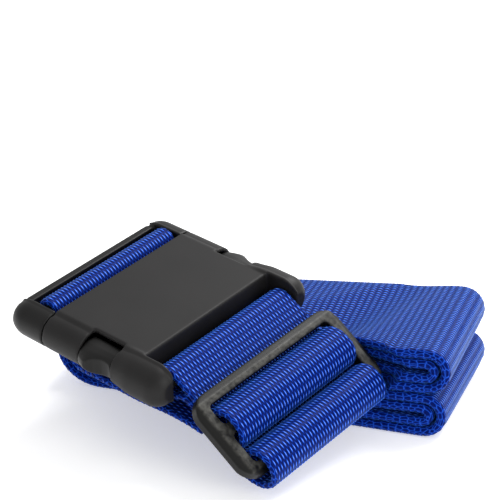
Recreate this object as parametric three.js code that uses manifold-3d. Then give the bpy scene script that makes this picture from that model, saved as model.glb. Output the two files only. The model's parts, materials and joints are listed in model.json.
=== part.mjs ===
// A luggage strap: 50 mm webbing with a side-release buckle and a three-bar adjuster.
// The spare webbing is folded into a flat hank, and the closed buckle lies on it.
// Units are millimetres. +X runs along the hank, +Y across it, +Z up.

import * as THREE from 'three';
import { mergeVertices } from 'three/addons/utils/BufferGeometryUtils.js';
import Module from 'manifold-3d';

const wasm = await Module();
wasm.setup();

// ---- Driving dimensions ----

const webWidth = 50;
const webThickness = 1.8;
const clearance = 0.35;
const plyPitch = webThickness + clearance;
const arcSteps = 10;
const rodSides = 24;
const cutMargin = 20;

// The hank, in side view: each bundle is thicker at its right-hand fold than in the middle.
const hank = { left: -55, leftRound: 12, right: 67.5, swellFrom: 5, swellTo: 50 };
const lowerBundleTop = { middle: 10.8, right: 13.4 };
const upperBundleTop = { middle: 22.5, right: 27.5 };

// The strap plane carries the buckle and the adjuster. Its origin is the middle of the plate's front edge.
const strapPlane = { x: -31, y: -26, z: 40.2, yaw: -22.2, roll: 9 };
const bucklePitch = 6.9;
const adjusterPlace = { x: 52.2, z: -10.6, pitch: 40.6 };

// Buckle, in its own frame: +X towards the adjuster, +Y across, z = 0 at the top of the plate.
const plateLength = 33.8;
const plateHalfWidth = 26;
const barrel = { y: 27.2, z: -6.2, radius: 5.5 };
const buckleBottom = barrel.z - barrel.radius;
const wall = 1.3;
const plateThickness = 1.6;
const railEnd = 44.5;
const rearBar = { x: 40.5, z: -6.5, radius: 2.3 };
const rearWall = 3.2;
const sideWindow = { from: 14.2, to: 26.2, inner: 25.5 };
const shoulder = { from: -13.4, to: -0.4, top: -0.3 };
const outerBar = { back: -11, top: -2, bottom: -9 };
const innerBar = { x: -4.9, z: -3.6, radius: 1.9 };
const crossMember = { from: 0.3, to: 3.2, top: -3, bottom: -9.6, halfWidth: 29 };
const tongue = { to: 26, halfWidth: 9, top: -4.6, bottom: -8 };
const arm = { from: 3.5, inner: 26.6, outer: 29.2, top: -3.4, bottom: -9 };
const paddle = { from: 14.5, to: 25.9, inner: 25.9, halfHeight: 3.9, reach: 5.3 };
const thumbHollow = { beforeEnd: 3.6, radius: 9, depth: 1.4 };
const plugLoopEnd = 24;

// Adjuster, in its own frame: +X down the slope, z = 0 at its top.
const adjuster = {
  length: 26.9, halfWidth: 30.2, slotHalfWidth: 25.6, thickness: 3.6, corner: 6, slotCorner: 1.5,
};
const adjusterBars = { first: 3.7, middleFrom: 10.2, middleTo: 13.6, last: 23.2 };

// The buckle and the adjuster press into the hank's near edge. These are the rooms that they take,
// each in the frame of what presses. The adjuster's is longer by the way that it slides.
const buckleRoom = { from: -15, to: 54, near: -36, far: 35, bottom: -20, top: 3 };
const adjusterRoom = { from: -8, to: 33, near: 0, far: 32, bottom: -12, top: 6 };

// ---- Solids by cutting and joining ----

const alongX = new THREE.Matrix4().makeBasis(
  new THREE.Vector3(0, 1, 0), new THREE.Vector3(0, 0, 1), new THREE.Vector3(1, 0, 0));
const alongY = new THREE.Matrix4().makeBasis(
  new THREE.Vector3(1, 0, 0), new THREE.Vector3(0, 0, 1), new THREE.Vector3(0, -1, 0));

function solidOf(geometry) {
  const bare = geometry.clone();
  bare.deleteAttribute('normal');
  bare.deleteAttribute('uv');
  const merged = mergeVertices(bare, 1e-4);
  return new wasm.Manifold(new wasm.Mesh({
    numProp: 3,
    vertProperties: new Float32Array(merged.attributes.position.array),
    triVerts: new Uint32Array(merged.index.array),
  }));
}

function geometryOf(solid) {
  const mesh = solid.getMesh();
  const geometry = new THREE.BufferGeometry();
  geometry.setAttribute('position', new THREE.BufferAttribute(mesh.vertProperties, 3));
  geometry.setIndex(new THREE.BufferAttribute(mesh.triVerts, 1));
  return geometry;
}

function extruded(shape, depth) {
  return new THREE.ExtrudeGeometry(shape, { depth, bevelEnabled: false, curveSegments: arcSteps });
}

// A section in (y, z), swept from one x to another.
function sweptAlongX(shape, from, to) {
  return solidOf(extruded(shape, to - from).applyMatrix4(alongX).translate(from, 0, 0));
}

// A side view in (x, z), swept across a width centred on y = 0.
function sweptAcross(shape, width) {
  return solidOf(extruded(shape, width).applyMatrix4(alongY).translate(0, width / 2, 0));
}

function block(x0, x1, y0, y1, z0, z1) {
  const box = new THREE.BoxGeometry(x1 - x0, y1 - y0, z1 - z0);
  return solidOf(box.translate((x0 + x1) / 2, (y0 + y1) / 2, (z0 + z1) / 2));
}

function crossRod(x, z, radius, width) {
  return solidOf(new THREE.CylinderGeometry(radius, radius, width, rodSides).translate(x, 0, z));
}

function joined(solids) {
  return solids.reduce((whole, solid) => whole.add(solid));
}

function cut(solid, tools) {
  return tools.reduce((left, tool) => left.subtract(tool), solid);
}

function mirroredInY(makeSide) {
  return [makeSide(-1), makeSide(1)];
}

// ---- Outlines ----

// The buckle's section in (y, z): a flat plate on top and a half barrel on each side.
function buckleSection(radius, top) {
  const shape = new THREE.Shape();
  shape.moveTo(-barrel.y, barrel.z - radius);
  shape.lineTo(barrel.y, barrel.z - radius);
  shape.absarc(barrel.y, barrel.z, radius, -Math.PI / 2, Math.PI / 2, false);
  shape.lineTo(plateHalfWidth, top);
  shape.lineTo(-plateHalfWidth, top);
  shape.absarc(-barrel.y, barrel.z, radius, Math.PI / 2, 1.5 * Math.PI, false);
  return shape;
}

// A band of even thickness along a centre line in (x, z).
function band(points) {
  const half = webThickness / 2;
  const left = [];
  const right = [];
  points.forEach((point, i) => {
    const before = points[Math.max(i - 1, 0)];
    const after = points[Math.min(i + 1, points.length - 1)];
    const along = new THREE.Vector2().subVectors(after, before).normalize();
    const side = new THREE.Vector2(-along.y, along.x).multiplyScalar(half);
    left.push(new THREE.Vector2().addVectors(point, side));
    right.push(new THREE.Vector2().subVectors(point, side));
  });
  return new THREE.Shape([...right, ...left.reverse()]);
}

function smoothLine(points, steps) {
  return new THREE.SplineCurve(points.map(([x, z]) => new THREE.Vector2(x, z))).getSpacedPoints(steps);
}

function roundedRectangle(x0, x1, y0, y1, radius) {
  const shape = new THREE.Shape();
  shape.moveTo(x0 + radius, y0);
  shape.absarc(x1 - radius, y0 + radius, radius, -Math.PI / 2, 0, false);
  shape.absarc(x1 - radius, y1 - radius, radius, 0, Math.PI / 2, false);
  shape.absarc(x0 + radius, y1 - radius, radius, Math.PI / 2, Math.PI, false);
  shape.absarc(x0 + radius, y0 + radius, radius, Math.PI, 1.5 * Math.PI, false);
  return shape;
}

// ---- The hank: two bundles of four plies, one on the other ----

function roomBlock(room, frame) {
  const size = [room.to - room.from, room.far - room.near, room.top - room.bottom];
  const middle = [(room.from + room.to) / 2, (room.near + room.far) / 2, (room.bottom + room.top) / 2];
  return solidOf(new THREE.BoxGeometry(...size).translate(...middle).applyMatrix4(frame.matrixWorld));
}

function pressed(bundle) {
  return geometryOf(cut(bundle, [roomBlock(buckleRoom, buckle), roomBlock(adjusterRoom, slider)]));
}

// An S-curve in side view, level at both ends.
function swell(shape, fromZ, toX, toZ) {
  const middle = (hank.swellFrom + hank.swellTo) / 2;
  shape.bezierCurveTo(middle, fromZ, middle, toZ, toX, toZ);
}

function lowerBundle() {
  const bend = lowerBundleTop.right / 2;
  const shape = new THREE.Shape();
  shape.moveTo(hank.left + hank.leftRound, 0);
  shape.lineTo(hank.right - bend, 0);
  shape.absarc(hank.right - bend, bend, bend, -Math.PI / 2, Math.PI / 2, false);
  shape.lineTo(hank.swellTo, lowerBundleTop.right);
  swell(shape, lowerBundleTop.right, hank.swellFrom, lowerBundleTop.middle);
  shape.lineTo(hank.left + 1, lowerBundleTop.middle);
  shape.quadraticCurveTo(hank.left, 1, hank.left + hank.leftRound, 0);
  return pressed(sweptAcross(shape, webWidth));
}

function upperBundle() {
  const bottom = lowerBundleTop.middle + clearance;
  const rightBottom = lowerBundleTop.right + clearance;
  const bend = (upperBundleTop.right - rightBottom) / 2;
  const shape = new THREE.Shape();
  shape.moveTo(hank.left + 2, bottom);
  shape.lineTo(hank.swellFrom, bottom);
  swell(shape, bottom, hank.swellTo, rightBottom);
  shape.lineTo(hank.right - bend, rightBottom);
  shape.absarc(hank.right - bend, rightBottom + bend, bend, -Math.PI / 2, Math.PI / 2, false);
  shape.lineTo(hank.swellTo, upperBundleTop.right);
  swell(shape, upperBundleTop.right, hank.swellFrom, upperBundleTop.middle);
  shape.lineTo(hank.left + hank.leftRound, upperBundleTop.middle);
  shape.quadraticCurveTo(hank.left, upperBundleTop.middle, hank.left + 2, bottom);
  return pressed(sweptAcross(shape, webWidth));
}

// ---- The buckle ----

function socketHousing() {
  const outside = sweptAlongX(buckleSection(barrel.radius, 0), 0, railEnd);
  const inside = sweptAlongX(buckleSection(barrel.radius - wall, -plateThickness), -1, plateLength - rearWall);
  const rearSlot = block(plateLength, railEnd + 1, -plateHalfWidth, plateHalfWidth, -cutMargin, 1);
  const windows = mirroredInY((side) => block(
    sideWindow.from, sideWindow.to,
    Math.min(side * sideWindow.inner, side * (barrel.y + cutMargin)),
    Math.max(side * sideWindow.inner, side * (barrel.y + cutMargin)),
    -cutMargin, 1));
  const bar = crossRod(rearBar.x, rearBar.z, rearBar.radius, 2 * plateHalfWidth + 2);
  return geometryOf(cut(outside, [inside, rearSlot, ...windows]).add(bar));
}

function plugFrame() {
  const outside = sweptAlongX(buckleSection(barrel.radius, shoulder.top), shoulder.from, shoulder.to);
  const webSlot = block(outerBar.back, shoulder.to + 1, -plateHalfWidth, plateHalfWidth, -cutMargin, 1);
  const overBar = block(shoulder.from - 1, outerBar.back, -plateHalfWidth, plateHalfWidth, outerBar.top, 1);
  const underBar = block(shoulder.from - 1, outerBar.back, -plateHalfWidth, plateHalfWidth,
    -cutMargin, outerBar.bottom);
  const bar = crossRod(innerBar.x, innerBar.z, innerBar.radius, 2 * plateHalfWidth + 2);
  const cross = block(crossMember.from, crossMember.to, -crossMember.halfWidth, crossMember.halfWidth,
    crossMember.bottom, crossMember.top);
  const links = mirroredInY((side) => block(
    shoulder.to - 1, crossMember.to,
    Math.min(side * arm.inner, side * crossMember.halfWidth),
    Math.max(side * arm.inner, side * crossMember.halfWidth),
    crossMember.bottom, crossMember.top));
  const guide = block(crossMember.to - 1, tongue.to, -tongue.halfWidth, tongue.halfWidth,
    tongue.bottom, tongue.top);
  return geometryOf(joined([cut(outside, [webSlot, overBar, underBar]), bar, cross, ...links, guide]));
}

// One spring arm with its finger paddle. The paddle's outside follows the barrel, with a thumb hollow.
function springArm(side) {
  const span = (a, b) => [Math.min(side * a, side * b), Math.max(side * a, side * b)];
  const [neckLow, neckHigh] = span(arm.inner, arm.outer);
  const neck = block(arm.from, paddle.from + 1, neckLow, neckHigh, arm.bottom, arm.top);
  const low = barrel.z - paddle.halfHeight;
  const high = barrel.z + paddle.halfHeight;
  const [insideLow, insideHigh] = span(paddle.inner - paddle.reach, paddle.inner);
  const [blockLow, blockHigh] = span(paddle.inner, barrel.y);
  const round = new THREE.Shape()
    .absellipse(side * barrel.y, barrel.z, paddle.reach, paddle.halfHeight, 0, 2 * Math.PI, false);
  const inside = block(paddle.from - 1, paddle.to + 1, insideLow, insideHigh, low - 1, high + 1);
  const body = sweptAlongX(round, paddle.from, paddle.to).subtract(inside)
    .add(block(paddle.from, paddle.to, blockLow, blockHigh, low, high));
  const hollowY = barrel.y + paddle.reach + thumbHollow.radius - thumbHollow.depth;
  const hollow = solidOf(
    new THREE.CylinderGeometry(thumbHollow.radius, thumbHollow.radius, 2 * cutMargin, rodSides)
      .rotateX(Math.PI / 2)
      .translate(paddle.to - thumbHollow.beforeEnd, side * hollowY, barrel.z));
  return geometryOf(body.subtract(hollow).add(neck));
}

// Webbing sewn round the plug's inner bar, with both plies leaving under the buckle.
function plugWebLoop() {
  const radius = innerBar.radius + clearance + webThickness / 2;
  const upperPly = buckleBottom - clearance - webThickness / 2;
  const lowerPly = upperPly - plyPitch;
  const over = new THREE.Path().absarc(innerBar.x, innerBar.z, radius, 0, Math.PI, false).getPoints(arcSteps);
  const up = smoothLine([[plugLoopEnd, upperPly], [8, upperPly], [2, upperPly - 0.1], [-1.3, upperPly + 0.25],
    [innerBar.x + radius, upperPly + 2.6], [innerBar.x + radius, innerBar.z - 2]], 16);
  const down = smoothLine([[innerBar.x - radius, innerBar.z - 2], [innerBar.x - radius, upperPly + 3],
    [innerBar.x - 1, lowerPly], [10, lowerPly], [plugLoopEnd, lowerPly]], 12);
  return geometryOf(sweptAcross(band([...up, ...over, ...down]), webWidth));
}

// ---- The adjuster ----

function adjusterFrame() {
  const slot = adjuster.slotHalfWidth;
  const outline = roundedRectangle(0, adjuster.length, -adjuster.halfWidth, adjuster.halfWidth, adjuster.corner);
  const plate = solidOf(extruded(outline, adjuster.thickness).translate(0, 0, -adjuster.thickness));
  const slots = [
    roundedRectangle(adjusterBars.first, adjusterBars.middleFrom, -slot, slot, adjuster.slotCorner),
    roundedRectangle(adjusterBars.middleTo, adjusterBars.last, -slot, slot, adjuster.slotCorner),
  ].map((shape) => solidOf(extruded(shape, cutMargin).translate(0, 0, -cutMargin / 2)));
  return geometryOf(cut(plate, slots));
}

// Both loops arch over a bar of the adjuster, in its frame.
function innerLoop() {
  const crown = clearance + webThickness / 2 + 0.9;
  const line = smoothLine([[5.4, -2.3], [6.4, 0], [9, crown], [12, crown + 0.4], [15, crown - 0.2],
    [17, -0.6], [17.2, -3.2]], 24);
  return geometryOf(sweptAcross(band(line), webWidth));
}

function outerLoop() {
  const line = smoothLine([[19.6, -3.2], [20, -0.4], [22.4, 2.3], [26, 2.6], [29.4, 0.8], [30.6, -2.4],
    [29, -6], [25, -8.6], [20, -9.3], [14, -9.3]], 36);
  return geometryOf(sweptAcross(band(line), webWidth));
}

// Webbing round the socket's rear bar. The upper leg ends in the adjuster's first slot,
// and the lower leg runs on under the middle bar.
function socketWebLoop() {
  const radius = rearBar.radius + clearance + webThickness / 2;
  const slope = THREE.MathUtils.degToRad(adjusterPlace.pitch);
  const pitch = THREE.MathUtils.degToRad(bucklePitch);
  const centre = new THREE.Vector2(
    rearBar.x * Math.cos(pitch) + rearBar.z * Math.sin(pitch),
    rearBar.z * Math.cos(pitch) - rearBar.x * Math.sin(pitch));
  const inPlane = ([x, z]) => [
    adjusterPlace.x + x * Math.cos(slope) + z * Math.sin(slope),
    adjusterPlace.z + z * Math.cos(slope) - x * Math.sin(slope)];
  const upper = -adjuster.thickness - clearance - webThickness / 2;
  const lower = upper - plyPitch;
  const legs = Math.PI / 2 - slope;
  const round = new THREE.Path().absarc(centre.x, centre.y, radius, legs, legs + Math.PI, false);
  const upperLeg = [inPlane([5, upper]), inPlane([2, upper]), inPlane([-2, upper])]
    .map(([x, z]) => new THREE.Vector2(x, z));
  const bottom = round.getPoint(1);
  const lowerLeg = smoothLine([[bottom.x, bottom.y], [bottom.x + 3, bottom.y - 1.6],
    inPlane([-3, lower - 0.6]), inPlane([2, lower]), inPlane([10, lower]), inPlane([18, lower])], 24);
  const line = [...upperLeg, ...round.getPoints(arcSteps), ...lowerLeg.slice(1)];
  return geometryOf(sweptAcross(band(line), webWidth));
}

// The strap's run from the adjuster back over the hank's top ply, in the strap plane.
function feedPly() {
  const line = smoothLine([[50, -24], [45, -22.7], [38, -21.8], [27, -21.5], [15, -20.1], [3, -18.8]], 24);
  return geometryOf(sweptAcross(band(line), webWidth));
}

// ---- Assembly ----

function plastic(colour) {
  return new THREE.MeshStandardMaterial({ color: colour, roughness: 0.55, metalness: 0 });
}

function webbing(colour) {
  return new THREE.MeshStandardMaterial({ color: colour, roughness: 0.85, metalness: 0 });
}

function named(name, geometry, material) {
  const mesh = new THREE.Mesh(geometry, material);
  mesh.name = name;
  geometry.computeVertexNormals();
  return mesh;
}

const charcoal = plastic(0x3a3938);
const black = plastic(0x2a2a29);
const blue = webbing(0x1f3fbe);

const buckle = new THREE.Group();
buckle.rotation.y = THREE.MathUtils.degToRad(bucklePitch);
buckle.add(
  named('socket_housing', socketHousing(), charcoal),
  named('plug_frame', plugFrame(), black),
  named('spring_arm_near', springArm(-1), black),
  named('spring_arm_far', springArm(1), black),
  named('plug_web_loop', plugWebLoop(), blue),
);

const slider = new THREE.Group();
slider.position.set(adjusterPlace.x, 0, adjusterPlace.z);
slider.rotation.y = THREE.MathUtils.degToRad(adjusterPlace.pitch);
slider.add(
  named('adjuster_frame', adjusterFrame(), black),
  named('adjuster_inner_loop', innerLoop(), blue),
  named('adjuster_outer_loop', outerLoop(), blue),
);

const plane = new THREE.Group();
plane.position.set(strapPlane.x, strapPlane.y, strapPlane.z);
plane.rotation.set(
  THREE.MathUtils.degToRad(strapPlane.roll), 0, THREE.MathUtils.degToRad(strapPlane.yaw), 'ZYX');
plane.add(
  buckle,
  slider,
  named('socket_web_loop', socketWebLoop(), blue),
  named('feed_ply', feedPly(), blue),
);

plane.updateMatrixWorld(true);
const luggageStrap = new THREE.Group();
luggageStrap.add(
  named('hank_lower_bundle', lowerBundle(), blue),
  named('hank_upper_bundle', upperBundle(), blue),
  plane,
);

// The row's origin is the bottom centre of the whole strap's box.
luggageStrap.updateMatrixWorld(true);
const box = new THREE.Box3().setFromObject(luggageStrap, true);
luggageStrap.position.set(-(box.min.x + box.max.x) / 2, -(box.min.y + box.max.y) / 2, -box.min.z);

export default luggageStrap;
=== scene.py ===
import json
import math

import bpy
import numpy as np
from mathutils import Matrix, Vector

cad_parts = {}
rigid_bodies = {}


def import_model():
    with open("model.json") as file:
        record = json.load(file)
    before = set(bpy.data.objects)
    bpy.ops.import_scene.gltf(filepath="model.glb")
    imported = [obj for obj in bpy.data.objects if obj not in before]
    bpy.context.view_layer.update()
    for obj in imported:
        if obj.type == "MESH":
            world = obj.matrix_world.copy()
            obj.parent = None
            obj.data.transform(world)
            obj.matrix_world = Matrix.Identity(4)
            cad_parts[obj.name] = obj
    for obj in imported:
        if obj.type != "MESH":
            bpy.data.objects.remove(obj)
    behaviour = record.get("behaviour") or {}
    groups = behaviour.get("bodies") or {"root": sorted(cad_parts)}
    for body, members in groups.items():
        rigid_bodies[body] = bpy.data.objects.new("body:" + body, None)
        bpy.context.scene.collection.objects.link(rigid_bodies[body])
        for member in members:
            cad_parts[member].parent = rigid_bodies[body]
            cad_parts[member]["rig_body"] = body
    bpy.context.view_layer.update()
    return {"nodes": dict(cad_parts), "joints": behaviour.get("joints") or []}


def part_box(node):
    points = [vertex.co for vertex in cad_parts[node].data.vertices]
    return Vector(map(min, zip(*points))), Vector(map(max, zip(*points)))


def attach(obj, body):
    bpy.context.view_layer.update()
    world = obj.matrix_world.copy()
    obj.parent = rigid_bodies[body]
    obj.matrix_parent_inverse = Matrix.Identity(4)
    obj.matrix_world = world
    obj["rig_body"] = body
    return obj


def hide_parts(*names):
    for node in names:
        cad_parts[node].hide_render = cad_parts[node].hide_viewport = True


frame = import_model()

# ---- Driving dimensions, in millimetres and degrees unless a name says otherwise ----

MM = 0.001

# Webbing: warp yarns lie side by side along it, and every second one floats over each pick of weft.
WEB_WIDTH = 50.0
WEB_THICKNESS = 1.8
LOOSE_THICKNESS = 2.5
WARP_PITCH = 0.6
PICK = 2.0
FLOAT_SHARPNESS = 1.7
WEAVE_RELIEF = 0.26
RIB_RELIEF = 0.14
EDGE_RELIEF = 0.14
EDGE_LOOP = 0.85
# The edge's relief takes over from this far inside the edge, and over this length.
EDGE_BLEND_INSIDE = 0.5
EDGE_BLEND = 0.7
# In the weave map, the edges begin this far from the middle, whatever the webbing's thickness.
MAPPED_EDGE = 24.3
# Spacing of the mesh: across the fine weave, across ribs, along the webbing, and along the hank.
FINE_STEP = WARP_PITCH / 4
RIBBED_STEP = 3.0
ROW_STEP = 0.25
HANK_ROW_STEP = 0.4
EDGE_SEGMENTS = 14

# Buckle frame: +X towards the adjuster, +Y across, z = 0 at the top of the plate.
BUCKLE_PITCH = 6.9
ARM_PIVOT = Vector((3.6, 0, -6.4))
BARREL_Y = 27.2
BARREL_Z = -6.2
BARREL_RADIUS = 5.5
BUCKLE_BOTTOM = BARREL_Z - BARREL_RADIUS
# Bars, as x, z and radius.
INNER_BAR = (-4.9, -3.6, 1.9)
REAR_BAR = (40.5, -6.5, 2.3)

# The barrels' shapes: changes of size begin and end at these distances across and along.
BARREL_FROM, BARREL_TO = 24.5, 27.0
LOBE_FLARE, LOBE_FLARE_FROM, LOBE_FLARE_TO = 0.14, 26.0, 33.0
LOBE_ROUNDNESS, LOBE_ROUND_FROM, LOBE_ROUND_LENGTH = 0.8, 39.5, 5.0
SHOULDER_NARROWING, SHOULDER_ROUND_FROM, SHOULDER_ROUND_LENGTH = 0.28, -8.5, 5.0
SHOULDER_CURVE = 2.4
PADDLE_BELLY, PADDLE_LENGTH, PADDLE_DEPTH = 18.4, 3.8, 3.0
PADDLE_SWELL, PADDLE_RISE = 0.36, 0.07

# The adjuster's place in the strap plane, and its frame: +X down the slope, z = 0 at its top.
ADJUSTER_PLACE = Vector((52.2, 0, -10.6))
ADJUSTER_PITCH = 40.6
ADJUSTER_LENGTH = 26.9
ADJUSTER_HALF_WIDTH = 30.2
ADJUSTER_THICKNESS = 3.6
ADJUSTER_BEVEL, ADJUSTER_BEVEL_WIDTH, ADJUSTER_BEVEL_DEPTH = 1.0, 2.0, 2.4
# Wear, and painted light on the upper faces, begin on the adjuster and are full at these distances from
# its rim, and at these heights.
WEAR_AND_LIGHT_FROM_RIM = (1.3, 2.3)
WEAR_AND_LIGHT_HEIGHTS = (-0.9, -0.2)

CLEARANCE = 0.35
PLY_PITCH = WEB_THICKNESS + CLEARANCE
# From a surface to the middle of the webbing that lies on it.
WEB_OFFSET = CLEARANCE + WEB_THICKNESS / 2


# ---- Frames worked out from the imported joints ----

def joint(name):
    return next(j for j in frame["joints"] if j["name"] == name)


def turned_to(x_axis, y_axis):
    """The matrix from millimetres along two local axes to the row frame's metres."""
    x = Vector(x_axis).normalized()
    y = Vector(y_axis).normalized()
    turn = Matrix((x, y, x.cross(y))).transposed()
    return turn.to_4x4() @ Matrix.Scale(MM, 4)


def buckle_place():
    x_axis = -Vector(joint("plug_slide")["axis"])
    normal = Vector(joint("near_arm_squeeze")["axis"])
    pivots = [Vector(joint(side + "_arm_squeeze")["pos_m"]) for side in ("near", "far")]
    turned = turned_to(x_axis, normal.cross(x_axis))
    return Matrix.Translation((pivots[0] + pivots[1]) / 2 - turned @ ARM_PIVOT) @ turned


BUCKLE = buckle_place()
STRAP_PLANE = BUCKLE @ Matrix.Rotation(math.radians(-BUCKLE_PITCH), 4, "Y")
ADJUSTER = STRAP_PLANE @ Matrix.Translation(ADJUSTER_PLACE) @ Matrix.Rotation(
    math.radians(ADJUSTER_PITCH), 4, "Y")


# ---- Side-view lines, as arrays of (x, z) ----

ARC_POINTS = 24
PLY_POINTS = 60


def arc(x, z, radius, start, end):
    """Points of an arc, with its angles in degrees from +X towards +Z."""
    turn = np.radians(np.linspace(start, end, ARC_POINTS))
    return np.stack([x + radius * np.cos(turn), z + radius * np.sin(turn)], 1)


def spaced(points, step):
    """The same line with its points evenly spaced along it."""
    points = np.asarray(points, float)
    travel = np.concatenate([[0], np.cumsum(np.linalg.norm(np.diff(points, axis=0), axis=1))])
    count = max(int(travel[-1] / step), 2)
    at = np.linspace(0, travel[-1], count + 1)
    return np.stack([np.interp(at, travel, points[:, k]) for k in (0, 1)], 1)


def smooth(points, step, passes):
    """A line through rounded corners: evenly spaced, then relaxed with its ends held."""
    line = spaced(points, step)
    for _ in range(passes):
        line[1:-1] += 0.25 * (line[:-2] - 2 * line[1:-1] + line[2:])
    return line


def length_of(line):
    return float(np.linalg.norm(np.diff(line, axis=0), axis=1).sum())


def ramped(value, start, end):
    """0 up to the start and 1 from the end, with a smooth change between them."""
    t = np.clip((value - start) / (end - start), 0, 1)
    return t * t * (3 - 2 * t)


def within(value, start, end, before, after):
    """1 from the start to the end, fading to 0 over the lengths before and after them."""
    return ramped(value, start - before, start) * (1 - ramped(value, end, end + after))


# ---- Webbing ----

# What each column of a section holds: a place, the way out from it, and how far round it is.
ACROSS, HEIGHT, OUT_ACROSS, OUT_HEIGHT, REACH = range(5)


def weave(across, along):
    """0 between the warp floats and 1 on them. Each yarn floats over two picks, and its neighbours
    float half a turn later."""
    column = np.cos(math.pi * across / WARP_PITCH)
    turn = np.cos(math.pi * along / PICK)
    here = np.clip(column, 0, 1) * (0.5 + 0.5 * turn) ** FLOAT_SHARPNESS
    beside = np.clip(-column, 0, 1) * (0.5 - 0.5 * turn) ** FLOAT_SHARPNESS
    return np.maximum(here, beside)


def web_section(thickness, face_step):
    """The webbing's section, one row for each point round it, and half the width of its flat."""
    radius = thickness / 2
    flat_half = WEB_WIDTH / 2 - radius

    def flat(step, side):
        count = int(flat_half / step)
        places = [side * k * step for k in range(-count, count + 1)]
        return [(across, side * radius, 0, side, across) for across in places]

    turns = np.radians(np.linspace(90, -90, EDGE_SEGMENTS + 1)[1:-1])
    reach = flat_half + radius * (math.pi / 2 - np.abs(turns))
    edge = np.stack([flat_half + radius * np.cos(turns), radius * np.sin(turns),
                     np.cos(turns), np.sin(turns), reach], 1)
    other_edge = edge[::-1] * (-1, 1, -1, 1, -1)
    section = np.concatenate([flat(face_step, 1), edge, flat(RIBBED_STEP, -1), other_edge])
    return section, flat_half


def relief(section, flat_half, along, fine):
    """How far each point of the section stands out, for each place along the webbing."""
    across = section[:, ACROSS][None, :]
    on_face = (section[:, OUT_HEIGHT] == 1)[None, :]
    beyond = np.abs(section[:, REACH])[None, :] - flat_half
    along = along[:, None]
    picks = np.cos(2 * math.pi * along / PICK)
    woven = WEAVE_RELIEF * (weave(across, along) - 0.5)
    ribs = RIB_RELIEF * picks * np.ones_like(across)
    loops = EDGE_RELIEF * picks * np.cos(2 * math.pi * beyond / EDGE_LOOP)
    flat = np.where(fine & on_face, woven, ribs)
    on_edge = np.clip((beyond + EDGE_BLEND_INSIDE) / EDGE_BLEND, 0, 1)
    return flat * (1 - on_edge) + loops * on_edge


def strip_points(line, section, out, puff):
    """The strip's points: a row for each place on the line, in the section's order."""
    tangent = np.gradient(line, axis=0)
    tangent /= np.linalg.norm(tangent, axis=1)[:, None]
    normal = np.stack([-tangent[:, 1], tangent[:, 0]], 1)
    across = section[None, :, ACROSS] + out * section[None, :, OUT_ACROSS]
    height = section[None, :, HEIGHT] + out * section[None, :, OUT_HEIGHT]
    if puff:
        height *= puff(line[:, 0:1])
    x = line[:, 0:1] + normal[:, 0:1] * height
    z = line[:, 1:2] + normal[:, 1:2] * height
    return np.stack([x, across, z], 2)


def strip_mesh(name, points):
    """A closed mesh round the rows of points, with a cap at each end."""
    rows, columns = points.shape[:2]
    index = np.arange(rows * columns).reshape(rows, columns)
    ring = np.roll(index, -1, axis=1)
    faces = np.stack([index[:-1], ring[:-1], ring[1:], index[1:]], 2).reshape(-1, 4)
    caps = [index[0][::-1].tolist(), index[-1].tolist()]
    mesh = bpy.data.meshes.new(name)
    mesh.from_pydata(points.reshape(-1, 3).tolist(), [], faces.tolist() + caps)
    return mesh


def add_weave_map(mesh, section, flat_half, along):
    """The millimetres across and along the webbing, as the UV map that its material reads."""
    reach = section[:, REACH]
    beyond = np.abs(reach) - flat_half
    mapped = np.where(beyond > 0, np.sign(reach) * (MAPPED_EDGE + beyond), reach)
    mapping = np.stack([np.tile(mapped, len(along)), np.repeat(along, len(section))], 1)
    corners = np.zeros(len(mesh.loops), np.int32)
    mesh.loops.foreach_get("vertex_index", corners)
    layer = mesh.uv_layers.new(name="weave")
    layer.data.foreach_set("uv", mapping[corners].ravel().astype(np.float32))


def webbing(name, place, line, thickness=WEB_THICKNESS, fine=True, row_step=ROW_STEP, puff=None,
            bend=None):
    """A closed strip of webbing along a side-view line, with its weave and edges in relief. The side
    to the left of the line is its face. It returns the piece and its length."""
    line = spaced(line, row_step)
    section, flat_half = web_section(thickness, FINE_STEP if fine else RIBBED_STEP)
    along = np.arange(len(line)) * length_of(line) / (len(line) - 1)
    points = strip_points(line, section, relief(section, flat_half, along, fine), puff)
    if bend:
        points = bend(points)
    mesh = strip_mesh(name, points)
    add_weave_map(mesh, section, flat_half, along)
    mesh.shade_smooth()
    mesh.transform(place)
    piece = bpy.data.objects.new(name, mesh)
    bpy.context.scene.collection.objects.link(piece)
    return piece, length_of(line)


# ---- Material nodes ----

def new_material(name):
    material = bpy.data.materials.new(name)
    material.use_nodes = True
    tree = material.node_tree
    return material, tree, tree.nodes["Principled BSDF"]


def set_inputs(node, values):
    for socket, value in values.items():
        node.inputs[socket].default_value = value


def math_node(tree, operation, *inputs):
    node = tree.nodes.new("ShaderNodeMath")
    node.operation = operation
    for socket, value in zip(node.inputs, inputs):
        if isinstance(value, (int, float)):
            socket.default_value = value
        else:
            tree.links.new(value, socket)
    return node.outputs[0]


def wave_of(tree, value, period):
    """The cosine of a coordinate with a period in its own units."""
    return math_node(tree, "COSINE", math_node(tree, "MULTIPLY", value, 2 * math.pi / period))


def ramp(tree, factor, stops):
    node = tree.nodes.new("ShaderNodeValToRGB")
    elements = node.color_ramp.elements
    while len(elements) < len(stops):
        elements.new(0.5)
    for element, (position, colour) in zip(elements, stops):
        element.position = position
        element.color = (*colour, 1)
    tree.links.new(factor, node.inputs["Fac"])
    return node.outputs["Color"]


def noise(tree, vector, scale, detail):
    node = tree.nodes.new("ShaderNodeTexNoise")
    set_inputs(node, {"Scale": scale, "Detail": detail})
    tree.links.new(vector, node.inputs["Vector"])
    return node.outputs["Fac"]


def bump(tree, height, distance, strength):
    node = tree.nodes.new("ShaderNodeBump")
    set_inputs(node, {"Distance": distance, "Strength": strength})
    tree.links.new(height, node.inputs["Height"])
    return node.outputs["Normal"]


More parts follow.
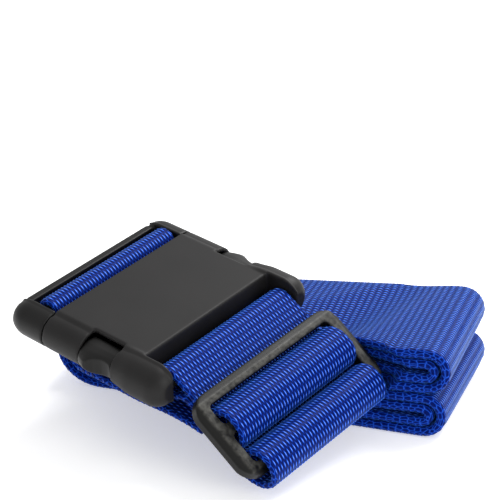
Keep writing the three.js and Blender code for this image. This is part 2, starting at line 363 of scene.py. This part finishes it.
def combined(tree, x, y):
    node = tree.nodes.new("ShaderNodeCombineXYZ")
    for socket, value in zip(node.inputs, (x, y)):
        tree.links.new(value, socket)
    return node.outputs[0]


def switched(tree, factor, first, second):
    """The first value where the factor is 0, and the second where it is 1."""
    node = tree.nodes.new("ShaderNodeMix")
    sockets = (node.inputs[0], node.inputs[2], node.inputs[3])
    for socket, value in zip(sockets, (factor, first, second)):
        tree.links.new(value, socket)
    return node.outputs[0]


# ---- Materials ----

# Levels from 0 to 1: the painted highlight on the outlines of the edge's loops, how fast it falls, and
# the painted shade inside them.
OUTLINE_HIGHLIGHT_LEVEL, OUTLINE_FALL, HOLLOW_SHADE_LEVEL = 0.66, 2.2, 0.14
LOOP_UNEVENNESS = 0.75
# Filaments are this much finer across the webbing than along it, and change the shade by this much.
FILAMENT_FINENESS = 9.0
FILAMENT_SHADE = 0.5
# Levels at which the webbing has its four colours, from painted shade between the floats, through the
# dyed blue, to painted highlights on their crowns, and the tints of its shine.
SHADE_TO_HIGHLIGHT_LEVELS = (0.12, 0.46, 0.76, 1.0)
SPECULAR_BLUE = (0.10, 0.32, 1.0, 1)
SHEEN_BLUE = (0.10, 0.40, 1.0, 1)

PLASTIC_SPECULAR = 0.24
# The plastic's colour changes by this share, and its roughness by this much, from place to place.
SHADE_CHANGE = 0.18
ROUGHNESS_CHANGE = 0.16
# A patch of the worn colour, which stands for rubbed wear and painted light, shows where its noise,
# times the contrast, is over the threshold.
PATCH_CONTRAST, PATCH_THRESHOLD = 3.2, 0.95


def warp_floats(tree, across, along):
    """The same as weave(), as nodes."""
    column = wave_of(tree, across, 2 * WARP_PITCH)
    turn = wave_of(tree, along, 2 * PICK)
    floats = []
    for sign in (1, -1):
        width = math_node(tree, "MAXIMUM", math_node(tree, "MULTIPLY", column, sign), 0)
        half_turn = math_node(tree, "MULTIPLY_ADD", turn, 0.5 * sign, 0.5)
        length = math_node(tree, "POWER", half_turn, FLOAT_SHARPNESS)
        floats.append(math_node(tree, "MULTIPLY", width, length))
    return math_node(tree, "MAXIMUM", *floats)


def edge_loop_highlights(tree, beyond, along):
    """Painted highlights on the outlines of the small, uneven loops of the edges, with painted shade
    inside them, one loop to a pick.
    """
    cells = tree.nodes.new("ShaderNodeTexVoronoi")
    cells.voronoi_dimensions = "2D"
    cells.feature = "DISTANCE_TO_EDGE"
    set_inputs(cells, {"Scale": 1 / EDGE_LOOP, "Randomness": LOOP_UNEVENNESS})
    along_loops = math_node(tree, "MULTIPLY", along, EDGE_LOOP / PICK)
    tree.links.new(combined(tree, beyond, along_loops), cells.inputs["Vector"])
    distance = cells.outputs["Distance"]
    # Painted highlight on the loop outlines, falling to the painted shade level inside.
    outline_highlight = math_node(tree, "MULTIPLY_ADD", distance, -OUTLINE_FALL, OUTLINE_HIGHLIGHT_LEVEL)
    return math_node(tree, "MAXIMUM", outline_highlight, HOLLOW_SHADE_LEVEL)


def webbing_material(name, shade_to_highlight_colours):
    """Woven polyester: warp floats on the flat, small loops round the edges, and fine filaments. Its
    colour is painted shade between the floats and loops and painted highlights on them.
    """
    material, tree, shader = new_material(name)
    uv = tree.nodes.new("ShaderNodeUVMap")
    uv.uv_map = "weave"
    split = tree.nodes.new("ShaderNodeSeparateXYZ")
    tree.links.new(uv.outputs[0], split.inputs[0])
    across, along = split.outputs[0], split.outputs[1]
    beyond = math_node(tree, "SUBTRACT", math_node(tree, "ABSOLUTE", across), MAPPED_EDGE)
    on_edge = math_node(tree, "GREATER_THAN", beyond, 0.0)
    # The pattern of floats and edge loops, which the ramp paints as shade between them and highlights
    # on them.
    floats_and_painted_light = switched(tree, on_edge, warp_floats(tree, across, along), edge_loop_highlights(tree, beyond, along))
    fine_across = math_node(tree, "MULTIPLY", across, FILAMENT_FINENESS)
    filaments = noise(tree, combined(tree, fine_across, along), scale=1.1, detail=4.0)
    uneven = math_node(tree, "MULTIPLY_ADD", filaments, FILAMENT_SHADE, -FILAMENT_SHADE / 2)
    level = math_node(tree, "ADD", floats_and_painted_light, uneven)
    # The ramp runs from painted shade in the gaps, through the dyed blue, to painted highlights on the
    # crowns.
    tree.links.new(ramp(tree, level, list(zip(SHADE_TO_HIGHLIGHT_LEVELS, shade_to_highlight_colours))), shader.inputs["Base Color"])
    tree.links.new(bump(tree, level, distance=0.00016, strength=0.8), shader.inputs["Normal"])
    set_inputs(shader, {
        "Roughness": 0.42, "Specular IOR Level": 0.12, "Specular Tint": SPECULAR_BLUE,
        "Sheen Weight": 0.35, "Sheen Roughness": 0.35, "Sheen Tint": SHEEN_BLUE})
    return material


def rubbed_and_lit(tree, place, tint, worn_and_lit):
    """The tint, with patches of the worn colour, which is rubbed wear and painted light, where the
    piece's attribute of wear and light lets them be.
    """
    wear_and_light = tree.nodes.new("ShaderNodeAttribute")
    wear_and_light.attribute_name = "wear_and_light"
    patch = noise(tree, place, scale=650.0, detail=7.0)
    spread = math_node(tree, "MULTIPLY_ADD", patch, PATCH_CONTRAST, -PATCH_THRESHOLD)
    mix = tree.nodes.new("ShaderNodeMix")
    mix.data_type = "RGBA"
    tree.links.new(math_node(tree, "MULTIPLY", wear_and_light.outputs["Fac"], spread), mix.inputs[0])
    tree.links.new(tint, mix.inputs[6])
    mix.inputs[7].default_value = (*worn_and_lit, 1)
    return mix.outputs[2]


def plastic_material(name, colour, roughness, worn_and_lit=None):
    """Moulded plastic: a fine spark-eroded grain, slow changes of shade, and patches of rubbed wear and
    painted light.
    """
    material, tree, shader = new_material(name)
    place = tree.nodes.new("ShaderNodeTexCoord").outputs["Object"]
    grain = noise(tree, place, scale=5200.0, detail=2.0)
    cloud = noise(tree, place, scale=90.0, detail=5.0)
    darker = tuple((1 - SHADE_CHANGE) * channel for channel in colour)
    lighter = tuple((1 + SHADE_CHANGE) * channel for channel in colour)
    tint = ramp(tree, cloud, [(0.3, darker), (0.7, lighter)])
    if worn_and_lit:
        tint = rubbed_and_lit(tree, place, tint, worn_and_lit)
    rough = math_node(tree, "MULTIPLY_ADD", cloud, ROUGHNESS_CHANGE, roughness - ROUGHNESS_CHANGE / 2)
    tree.links.new(tint, shader.inputs["Base Color"])
    tree.links.new(rough, shader.inputs["Roughness"])
    tree.links.new(bump(tree, grain, distance=0.00004, strength=0.35), shader.inputs["Normal"])
    shader.inputs["Specular IOR Level"].default_value = PLASTIC_SPECULAR
    return material


# Colours from painted shade between the floats, through the dyed blue, to two painted highlights on
# their crowns.
WEBBING = webbing_material("webbing_blue", [
    (0.001, 0.004, 0.08), (0.002, 0.022, 0.26), (0.025, 0.13, 0.80), (0.15, 0.32, 1.0)])
SOCKET_PLASTIC = plastic_material("socket_charcoal", (0.0100, 0.0094, 0.0095), 0.52)
PLUG_PLASTIC = plastic_material("plug_black", (0.005, 0.0048, 0.0047), 0.42)
# The worn colour is rubbed wear and painted light on the adjuster's upper faces.
ADJUSTER_PLASTIC = plastic_material("adjuster_black", (0.004, 0.004, 0.0036), 0.42,
                                    worn_and_lit=(0.056, 0.055, 0.049))


# ---- Plastic parts: the frame's shapes with moulded, rounded edges ----

def rounded_piece(name, source, place, voxel, rounding):
    """A copy of a CAD solid with soft mould radii, in its own frame so that flat faces stay flat."""
    mesh = source.data.copy()
    mesh.transform(place.inverted())
    mesh.materials.clear()
    piece = bpy.data.objects.new(name, mesh)
    bpy.context.scene.collection.objects.link(piece)
    remesh = piece.modifiers.new("remesh", "REMESH")
    remesh.mode = "VOXEL"
    remesh.voxel_size = voxel
    soften = piece.modifiers.new("soften", "SMOOTH")
    soften.factor = 0.5
    soften.iterations = rounding
    bpy.context.view_layer.update()
    evaluated = piece.evaluated_get(bpy.context.evaluated_depsgraph_get())
    solid = bpy.data.meshes.new_from_object(evaluated)
    piece.modifiers.clear()
    piece.data = solid
    solid.name = name
    return piece


def moulded(node, name, place, material, shape, voxel=0.35, rounding=4, wear_and_light=None):
    """A plastic piece: a CAD node's solid, rounded, shaped and placed, with a share of wear and painted
    light where it is rubbed and lit.
    """
    source = frame["nodes"][node]
    piece = rounded_piece(name, source, place, voxel, rounding)
    solid = piece.data
    points = np.zeros(len(solid.vertices) * 3, np.float32)
    solid.vertices.foreach_get("co", points)
    points = points.reshape(-1, 3).astype(float)
    if wear_and_light:
        attribute = solid.attributes.new("wear_and_light", "FLOAT", "POINT")
        attribute.data.foreach_set("value", wear_and_light(points).astype(np.float32))
    solid.vertices.foreach_set("co", shape(points).ravel().astype(np.float32))
    solid.transform(place)
    solid.shade_smooth()
    solid.materials.append(material)
    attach(piece, source["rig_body"])
    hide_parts(node)


def about_barrels(points, wide, tall):
    """The points scaled about the middle line of the buckle's near or far barrel."""
    x, y, z = points.T
    middle = np.sign(y) * BARREL_Y
    return np.stack([x, middle + (y - middle) * wide, BARREL_Z + (z - BARREL_Z) * tall], 1)


def in_barrel(y):
    """0 in the middle of the buckle and 1 in its barrels."""
    return ramped(np.abs(y), BARREL_FROM, BARREL_TO)


def socket_shape(points):
    """The rear lobes flare and end rounded."""
    x, y = points[:, 0], points[:, 1]
    flare = 1 + LOBE_FLARE * ramped(x, LOBE_FLARE_FROM, LOBE_FLARE_TO) * in_barrel(y)
    beyond = np.clip((x - LOBE_ROUND_FROM) / LOBE_ROUND_LENGTH, 0, 1)
    taper = 1 - in_barrel(y) * (1 - np.sqrt(1 - LOBE_ROUNDNESS * beyond ** 2))
    return about_barrels(points, flare * taper, flare * taper)


def plug_shape(points):
    """The shoulders' outer ends are rounded."""
    x, y = points[:, 0], points[:, 1]
    beyond = np.clip((SHOULDER_ROUND_FROM - x) / SHOULDER_ROUND_LENGTH, 0, 1)
    taper = 1 - SHOULDER_NARROWING * in_barrel(y) * beyond ** SHOULDER_CURVE
    return about_barrels(points, taper, taper)


def paddle_shape(points):
    """The finger paddles swell ahead of their thumb hollows."""
    x, y = points[:, 0], points[:, 1]
    belly = np.exp(-((x - PADDLE_BELLY) / PADDLE_LENGTH) ** 2)
    outward = ramped(np.abs(y), BARREL_Y, BARREL_Y + PADDLE_DEPTH)
    return about_barrels(points, 1 + PADDLE_SWELL * belly * outward, 1 + PADDLE_RISE * belly)


def from_rim(points):
    """How far in from the adjuster's outline a point lies."""
    x, y = points[:, 0], np.abs(points[:, 1])
    return np.minimum(np.minimum(x, ADJUSTER_LENGTH - x), ADJUSTER_HALF_WIDTH - y)


def adjuster_shape(points):
    """The rim falls away in a wide bevel."""
    drop = ADJUSTER_BEVEL * (1 - np.clip(from_rim(points) / ADJUSTER_BEVEL_WIDTH, 0, 1))
    near_top = np.clip((points[:, 2] + ADJUSTER_BEVEL_DEPTH) / ADJUSTER_BEVEL_DEPTH, 0, 1)
    shaped = points.copy()
    shaped[:, 2] -= drop * near_top
    return shaped


def adjuster_wear_and_light(points):
    """The upper faces are rubbed and get painted light, and the bevel round them keeps the dark base
    colour.
    """
    return ramped(from_rim(points), *WEAR_AND_LIGHT_FROM_RIM) * ramped(points[:, 2], *WEAR_AND_LIGHT_HEIGHTS)


def plastic_parts():
    moulded("socket_housing", "socket_shell", BUCKLE, SOCKET_PLASTIC, socket_shape)
    moulded("plug_frame", "plug_shell", BUCKLE, PLUG_PLASTIC, plug_shape)
    for side in ("near", "far"):
        moulded("spring_arm_" + side, "finger_paddle_" + side, BUCKLE, PLUG_PLASTIC,
                paddle_shape, voxel=0.25, rounding=7)
    # The adjuster's upper faces get patches of rubbed wear and painted light.
    moulded("adjuster_frame", "adjuster_slide", ADJUSTER, ADJUSTER_PLASTIC,
            adjuster_shape, voxel=0.25, rounding=3, wear_and_light=adjuster_wear_and_light)


# ---- The hank: one length of webbing, doubled and folded into eight plies ----

LOWER_LOW, LOWER_HIGH = (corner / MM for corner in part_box("hank_lower_bundle"))
HANK_MIDDLE_Y = (LOWER_LOW.y + LOWER_HIGH.y) / 2
HANK_LEFT = LOWER_LOW.x
HANK_RIGHT = (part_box("hank_upper_bundle")[1] / MM).x
PLY = LOOSE_THICKNESS + 2 * RIB_RELIEF
# Centre heights of the eight plies, from the lowest: in the middle of the hank, and at its right end.
MIDDLE_HEIGHTS = [PLY * (ply + 0.5) for ply in range(8)]
RIGHT_HEIGHTS = [1.6, 4.7, 9.0, 12.1, 15.3, 18.4, 23.0, 26.1]
SWELL_FROM, SWELL_TO = -5.0, 56.0
PUFF_FROM, PUFF_TO, PUFF = 30.0, 50.0, 0.12
# Places on the left, from the hank's left end: two folds, the doubled end, and the top plies' ends.
INNER_FOLD, OUTER_FOLD, DOUBLED_END, TOP_END = 9.0, 11.0, 14.0, 16.0
# The doubled end curls up round a point at this height, as far as this angle.
CURL_HEIGHT, CURL_ANGLE = 14.0, -165
# On the right, the lower bundle's fold and each bundle's inner fold stop this much short.
LOWER_FOLD_BACK, INNER_FOLD_BACK = 0.8, 0.3
# The far side of each bundle's right-hand fold lies further out, the lower one's more.
LOWER_SKEW, UPPER_SKEW, SKEW_FROM = 1.8, 0.3, 20.0
# The buckle presses the hank down to this depth below its plate, between these places along it.
PRESS_DEPTH, PRESS_FROM, PRESS_TO = -20.0, -20.0, 46.0
LEAST_HEIGHT_SHARE = 0.5
# In the adjuster's frame, the room that the hank leaves for it. The near edge yields over the depth.
ROOM_FROM, ROOM_TO, ROOM_FAR, ROOM_BOTTOM, ROOM_TOP = -8.0, 28.0, 30.5, -12.5, 6.0
YIELDING_DEPTH = 24.0


def ply_height(ply, x):
    swell = np.clip((x - SWELL_FROM) / (SWELL_TO - SWELL_FROM), 0, 1)
    return MIDDLE_HEIGHTS[ply] + (RIGHT_HEIGHTS[ply] - MIDDLE_HEIGHTS[ply]) * swell


def ply_line(ply, start, end):
    x = np.linspace(start, end, PLY_POINTS)
    return np.stack([x, ply_height(ply, x)], 1)


def fold(ply_from, ply_to, x, outward):
    """The half turn that joins two plies at one end of the hank."""
    low, high = ply_height(ply_from, x), ply_height(ply_to, x)
    middle, radius = (low + high) / 2, abs(high - low) / 2
    start = -90 if high > low else 90
    turn = arc(0, 0, radius, start, start + (180 if high > low else -180))
    turn[:, 0] *= outward
    return turn + (x, middle)


def right_fold(low, high):
    """Where the outer fold of a bundle's lowest and highest plies begins, at the right."""
    half_ply = PLY / 2 * (1 + PUFF)
    return HANK_RIGHT - (RIGHT_HEIGHTS[high] - RIGHT_HEIGHTS[low]) / 2 - half_ply


def hank_line():
    """From the eighth ply's cut end, back and forth to the seventh's, as a doubled strap folds."""
    left_inner, left_outer = HANK_LEFT + INNER_FOLD, HANK_LEFT + OUTER_FOLD
    left_end, top_end = HANK_LEFT + DOUBLED_END, HANK_LEFT + TOP_END
    lower, upper = right_fold(0, 3) - LOWER_FOLD_BACK, right_fold(4, 7)
    lower_inner, upper_inner = lower - INNER_FOLD_BACK, upper - INNER_FOLD_BACK
    curl_out = arc(left_end, CURL_HEIGHT, CURL_HEIGHT - MIDDLE_HEIGHTS[0], -90, CURL_ANGLE)
    curl_back = arc(left_end, CURL_HEIGHT, CURL_HEIGHT - MIDDLE_HEIGHTS[1], CURL_ANGLE, -90)
    parts = [
        ply_line(7, top_end, upper), fold(7, 4, upper, 1),
        ply_line(4, upper, left_inner), fold(4, 3, left_inner, -1),
        ply_line(3, left_inner, lower), fold(3, 0, lower, 1),
        ply_line(0, lower, left_end), curl_out, curl_back,
        ply_line(1, left_end, lower_inner), fold(1, 2, lower_inner, 1),
        ply_line(2, lower_inner, left_outer), fold(2, 5, left_outer, -1),
        ply_line(5, left_outer, upper_inner), fold(5, 6, upper_inner, 1),
        ply_line(6, upper_inner, top_end),
    ]
    return smooth(np.concatenate(parts), 0.4, 12)


def hank_puff(x):
    """The plies are looser, and so thicker, towards the right-hand folds."""
    return 1 + PUFF * ramped(x, PUFF_FROM, PUFF_TO)


def seen_from(place, points):
    """Row-frame millimetres as local millimetres of a placed frame."""
    inverse = np.array(place.inverted() @ Matrix.Scale(MM, 4))
    return points @ inverse[:3, :3].T + inverse[:3, 3]


def skew(points):
    """How much further out a point lies for being on the far side of a right-hand fold."""
    in_upper = ramped(points[..., 2], RIGHT_HEIGHTS[3], RIGHT_HEIGHTS[4])
    most = LOWER_SKEW + (UPPER_SKEW - LOWER_SKEW) * in_upper
    farness = (points[..., 1] - LOWER_LOW.y) / WEB_WIDTH
    return most * farness * ramped(points[..., 0], SKEW_FROM, HANK_RIGHT)


def pressed(points):
    """The share of its height that a point keeps where the buckle lies on the hank."""
    normal = BUCKLE.to_3x3() @ Vector((0, 0, 1)) / MM
    level = BUCKLE @ Vector((0, 0, PRESS_DEPTH)) / MM
    x, y = points[..., 0] - level.x, points[..., 1] - level.y
    ceiling = level.z - (x * normal.x + y * normal.y) / normal.z
    top = ply_height(7, points[..., 0]) + PLY / 2
    under = within(seen_from(BUCKLE, points)[..., 0], PRESS_FROM, PRESS_TO, before=10, after=20)
    return 1 - under * (1 - np.clip(ceiling / top, LEAST_HEIGHT_SHARE, 1))


def yielding(points):
    """How far back a point of the near edge goes, to leave the adjuster its room."""
    local = seen_from(ADJUSTER, points)
    across_axis = ADJUSTER.to_3x3() @ Vector((0, 1, 0)) / MM
    from_edge = points[..., 1] - LOWER_LOW.y
    intrusion = np.clip(ROOM_FAR - local[..., 1] + from_edge, 0, None) / across_axis.y
    beside = within(local[..., 0], ROOM_FROM, ROOM_TO, before=5, after=2)
    level_with = within(local[..., 2], ROOM_BOTTOM, ROOM_TOP, before=3, after=3)
    return intrusion * beside * level_with * (1 - ramped(from_edge, 0, YIELDING_DEPTH))


def hank_bend(points):
    """The hank as it lies: skewed at the right, pressed by the buckle, and clear of the adjuster."""
    points = points + (0, HANK_MIDDLE_Y, 0)
    points[..., 0] += skew(points)
    points[..., 2] *= pressed(points)
    points[..., 1] += yielding(points)
    return points - (0, HANK_MIDDLE_Y, 0)


def hank():
    place = Matrix.Translation((0, HANK_MIDDLE_Y * MM, 0)) @ Matrix.Scale(MM, 4)
    return webbing("webbing_hank", place, hank_line(), LOOSE_THICKNESS, fine=False,
                   row_step=HANK_ROW_STEP, puff=hank_puff, bend=hank_bend)


# ---- The webbing on the buckle and the adjuster ----

def plug_loop():
    """Up from under the buckle, over the plug's inner bar, and back under."""
    x, z, radius = INNER_BAR
    radius += WEB_OFFSET
    upper = BUCKLE_BOTTOM - WEB_OFFSET
    lower = upper - PLY_PITCH
    end = 24
    over = arc(x, z, radius, 0, 180)
    up = smooth([(end, upper), (2, upper), (-1.3, upper + 0.25), (x + radius, upper + 2.6),
                 (x + radius, z)], 0.4, 10)
    down = smooth([(x - radius, z), (x - radius, upper + 3.0), (x - 1, lower), (end, lower)], 0.4, 20)
    return webbing("webbing_plug_loop", BUCKLE, np.concatenate([up, over[1:-1], down])[::-1])


def middle_bar_loop():
    """The ridge over the adjuster's middle bar."""
    crown = WEB_OFFSET + 0.9
    line = smooth([(5.4, -2.3), (6.4, 0), (9, crown), (12, crown + 0.4), (15, crown - 0.2), (17, -0.6),
                   (17.2, -3.2)], 0.3, 30)
    return webbing("webbing_middle_bar_loop", ADJUSTER, line)


def last_bar_loop():
    """The ridge over the adjuster's last bar, and back under it."""
    line = smooth([(19.6, -3.2), (20, -0.4), (22.4, 2.3), (26, 2.6), (29.4, 0.8), (30.6, -2.4),
                   (29, -6), (25, -8.6), (20, -9.3), (14, -9.3)], 0.3, 30)
    return webbing("webbing_last_bar_loop", ADJUSTER, line)


def in_strap_plane(x, z):
    """A place in the adjuster's side view, as one in the strap plane's."""
    turned = Matrix.Rotation(math.radians(ADJUSTER_PITCH), 4, "Y") @ Vector((x, 0, z))
    point = turned + ADJUSTER_PLACE
    return (point.x, point.z)


def socket_legs():
    """Out from under the adjuster, round the socket's rear bar, and back under the first ply."""
    bar = Matrix.Rotation(math.radians(BUCKLE_PITCH), 4, "Y") @ Vector((REAR_BAR[0], 0, REAR_BAR[1]))
    upper = -ADJUSTER_THICKNESS - WEB_OFFSET
    lower = upper - PLY_PITCH
    leg = 90 - ADJUSTER_PITCH
    around = arc(bar.x, bar.z, REAR_BAR[2] + WEB_OFFSET, leg, leg + 180)
    end = around[-1]
    start = [in_strap_plane(x, upper) for x in (5, 2, -2)]
    back = smooth([end, (end[0] + 3, end[1] - 1.6), in_strap_plane(-3, lower - 0.6),
                   in_strap_plane(2, lower), in_strap_plane(10, lower + 0.4),
                   in_strap_plane(17, lower + 1.1)], 0.4, 20)
    return webbing("webbing_socket_legs", STRAP_PLANE, np.concatenate([start, around, back[1:]])[::-1])


def feed():
    """The ply that runs back from the adjuster, under the buckle."""
    line = smooth([(3, -18.8), (15, -20.1), (27, -21.5), (38, -21.8), (45, -22.7), (50, -24)], 0.4, 30)
    return webbing("webbing_feed", STRAP_PLANE, line)


def webbing_parts():
    rows = [
        (hank, "strap_and_socket", ["hank_lower_bundle", "hank_upper_bundle"]),
        (feed, "strap_and_socket", ["feed_ply"]),
        (socket_legs, "strap_and_socket", ["socket_web_loop"]),
        (plug_loop, "plug", ["plug_web_loop"]),
        (middle_bar_loop, "adjuster", ["adjuster_inner_loop"]),
        (last_bar_loop, "adjuster", ["adjuster_outer_loop"]),
    ]
    for make, body, nodes in rows:
        piece, length = make()
        piece.data.materials.append(WEBBING)
        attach(piece, body)
        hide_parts(*nodes)


# ---- Studio, with its distances in metres ----

CAMERA_AZIMUTH = 18.4
CAMERA_ELEVATION = 25.9
CAMERA_DISTANCE = 0.52
CAMERA_TURN_UP = 4.17
CAMERA_LENS = 121.0
# The camera aims at a point under the buckle, this far from the middle of the plate's front edge.
CAMERA_TARGET = BUCKLE.translation - Vector((-31.0, -26.0, 40.2)) * MM
LIGHT_TARGET = Vector((0, 0, 0.02))
WHITE = (1, 1, 1, 1)
SKY_STRENGTH = 0.75
# The floor glows a little, which keeps the shadow on it faint.
FLOOR_SIZE, FLOOR_GLOW = 6, 0.45


def camera():
    azimuth, elevation = math.radians(CAMERA_AZIMUTH), math.radians(CAMERA_ELEVATION)
    back = Vector((math.sin(azimuth) * math.cos(elevation), -math.cos(azimuth) * math.cos(elevation),
                   math.sin(elevation)))
    data = bpy.data.cameras.new("camera")
    data.lens = CAMERA_LENS
    data.clip_start = 0.01
    eye = bpy.data.objects.new("camera", data)
    eye.location = CAMERA_TARGET + back * CAMERA_DISTANCE
    eye.rotation_euler = (math.pi / 2 - elevation + math.radians(CAMERA_TURN_UP), 0, azimuth)
    bpy.context.scene.collection.objects.link(eye)
    bpy.context.scene.camera = eye


def area_light(name, location, size, power):
    data = bpy.data.lights.new(name, "AREA")
    data.size = size
    data.energy = power
    lamp = bpy.data.objects.new(name, data)
    lamp.location = location
    lamp.rotation_euler = (LIGHT_TARGET - Vector(location)).to_track_quat("-Z", "Y").to_euler()
    bpy.context.scene.collection.objects.link(lamp)


def floor():
    bpy.ops.mesh.primitive_plane_add(size=FLOOR_SIZE)
    plane = bpy.context.object
    plane.name = "studio_floor"
    material, _, shader = new_material("studio_white")
    set_inputs(shader, {"Base Color": (0.8, 0.8, 0.8, 1), "Roughness": 0.9,
                        "Emission Color": WHITE, "Emission Strength": FLOOR_GLOW})
    plane.data.materials.append(material)


def sky():
    world = bpy.data.worlds.new("studio")
    world.use_nodes = True
    set_inputs(world.node_tree.nodes["Background"], {"Color": WHITE, "Strength": SKY_STRENGTH})
    bpy.context.scene.world = world


plastic_parts()
webbing_parts()
camera()
floor()
sky()
area_light("key", (0.25, 0.55, 0.75), size=0.6, power=9.0)
area_light("side", (0.75, -0.35, 0.35), size=0.4, power=2.5)
bpy.context.scene.view_settings.view_transform = "Standard"
